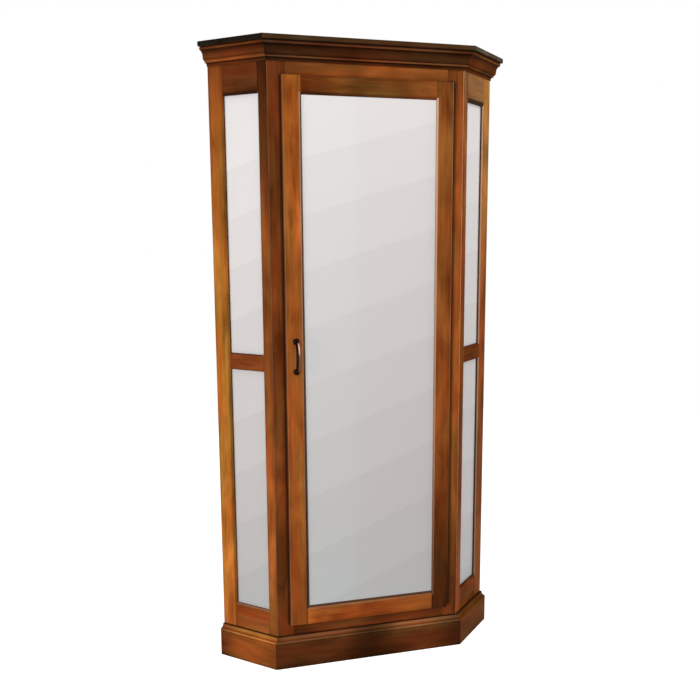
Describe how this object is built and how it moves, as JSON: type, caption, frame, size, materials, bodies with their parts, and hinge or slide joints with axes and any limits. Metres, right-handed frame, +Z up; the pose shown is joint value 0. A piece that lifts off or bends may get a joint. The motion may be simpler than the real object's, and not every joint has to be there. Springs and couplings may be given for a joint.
{
  "type": "corner curio cabinet",
  "caption": "Tall wooden corner display cabinet with angled glazed sides, a hinged glazed door with an arched pull, glass shelves, a moulded cornice and a plinth.",
  "frame": {"origin": "on the floor, below the middle of the whole cabinet's box, which runs from the pull's bow to the room's corner", "axes": "+Z up, +Y into the room's corner, so the door faces -Y, and +X to the right as seen from the front"},
  "size_m": [1.011, 0.685, 2],
  "materials": {
    "wood": "medium brown stain with dark edges, satin lacquer",
    "veneered_panel": "veneered board, clear satin",
    "glass": "flat glass that shows a pale room",
    "shelf_glass": "clear glass with ground green edges",
    "bronze": "oil-rubbed bronze",
    "steel": "zinc plated",
    "catch": "brown moulded plastic"
  },
  "bodies": {
    "cabinet": {"cap": "wood", "catch_body": "catch", "ceiling": "veneered_panel", "deck": "veneered_panel", "face_bottom_rail": "wood", "face_left_stile": "wood", "face_right_stile": "wood", "face_top_rail": "wood", "front_cornice": "wood", "front_plinth": "wood", "left_back_panel": "veneered_panel", "left_bottom_rail": "wood", "left_cornice": "wood", "left_front_standard": "steel", "left_front_stile": "wood", "left_lower_bead": "wood", "left_lower_glass": "glass", "left_mid_rail": "wood", "left_plinth": "wood", "left_rear_standard": "steel", "left_rear_stile": "wood", "left_top_rail": "wood", "left_upper_bead": "wood", "left_upper_glass": "glass", "lower_hinge_frame_leaf": "steel", "lower_hinge_pin": "steel", "rear_post": "wood", "right_back_panel": "veneered_panel", "right_bottom_rail": "wood", "right_cornice": "wood", "right_front_standard": "steel", "right_front_stile": "wood", "right_lower_bead": "wood", "right_lower_glass": "glass", "right_mid_rail": "wood", "right_plinth": "wood", "right_rear_standard": "steel", "right_rear_stile": "wood", "right_top_rail": "wood", "right_upper_bead": "wood", "right_upper_glass": "glass", "shelf_1": "shelf_glass", "shelf_2": "shelf_glass", "shelf_3": "shelf_glass", "shelf_4": "shelf_glass", "shelf_5": "shelf_glass", "upper_hinge_frame_leaf": "steel", "upper_hinge_pin": "steel"},
    "door": {"door_left_stile": "wood", "door_right_stile": "wood", "door_top_rail": "wood", "door_bottom_rail": "wood", "door_glass": "glass", "door_bead": "wood", "door_pull": "bronze", "pull_upper_screw": "steel", "pull_lower_screw": "steel", "upper_hinge_door_leaf": "steel", "lower_hinge_door_leaf": "steel", "catch_strike": "steel"}
  },
  "joints": [
    {"name": "door_swing", "type": "hinge", "parent": "cabinet", "child": "door", "pos_m": [0.267, -0.30148, 1.02], "axis": [0, 0, 1], "range_deg": [0, 150]}
  ]
}
